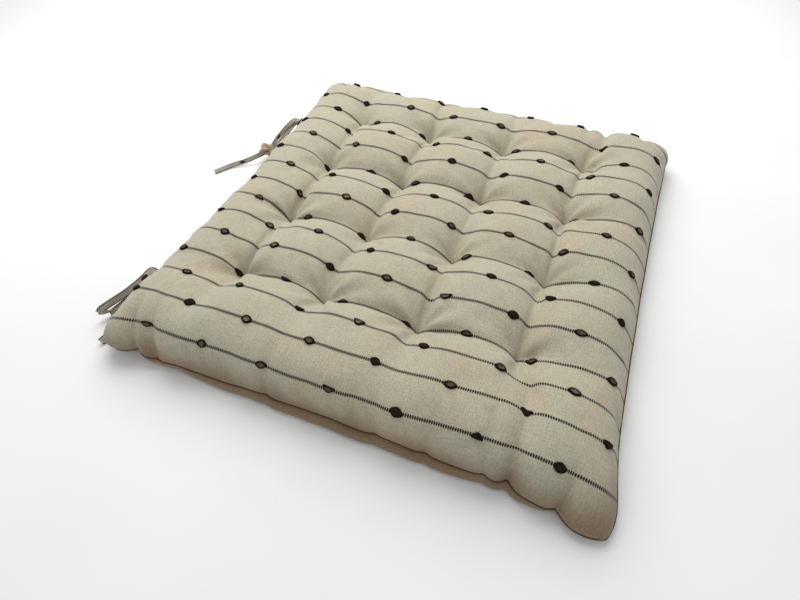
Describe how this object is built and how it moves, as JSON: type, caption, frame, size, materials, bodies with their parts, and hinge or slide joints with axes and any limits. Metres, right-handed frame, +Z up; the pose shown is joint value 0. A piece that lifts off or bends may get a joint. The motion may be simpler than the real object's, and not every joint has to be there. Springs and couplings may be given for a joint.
{
  "type": "seat pad",
  "caption": "Square tufted seat pad: woven cloth panels over a fibre filling, held down by a grid of stitched tufts, with cloth ties at the back edge.",
  "frame": {"origin": "centre of the pad's underside, on the surface that it lies on", "axes": "+Z up through the pad; +Y towards the back edge, which has the ties; +X towards the right-hand side as seen from the front edge; the woven stripes run along Y"},
  "size_m": [0.414, 0.4565, 0.043],
  "materials": {
    "cover_cloth": "matt natural woven cloth with thin dark stripes and raised thread lozenges",
    "fibre": "soft white fibre",
    "seam_thread": "matt brown sewing thread",
    "tuft_thread": "matt thick thread",
    "tie_cloth": "folded strip of the cover's cloth"
  },
  "bodies": {
    "root": {"top_cover": "cover_cloth", "bottom_cover": "cover_cloth", "fibre_fill": "fibre", "seam_thread": "seam_thread", "tuft_thread_01": "tuft_thread", "tuft_thread_02": "tuft_thread", "tuft_thread_03": "tuft_thread", "tuft_thread_04": "tuft_thread", "tuft_thread_05": "tuft_thread", "tuft_thread_06": "tuft_thread", "tuft_thread_07": "tuft_thread", "tuft_thread_08": "tuft_thread", "tuft_thread_09": "tuft_thread", "tuft_thread_10": "tuft_thread", "tuft_thread_11": "tuft_thread", "tuft_thread_12": "tuft_thread", "tuft_thread_13": "tuft_thread", "tuft_thread_14": "tuft_thread", "tuft_thread_15": "tuft_thread", "tuft_thread_16": "tuft_thread", "left_tie_upper": "tie_cloth", "left_tie_lower": "tie_cloth", "right_tie_upper": "tie_cloth", "right_tie_lower": "tie_cloth", "left_tie_stitching": "seam_thread", "right_tie_stitching": "seam_thread"}
  },
  "joints": []
}
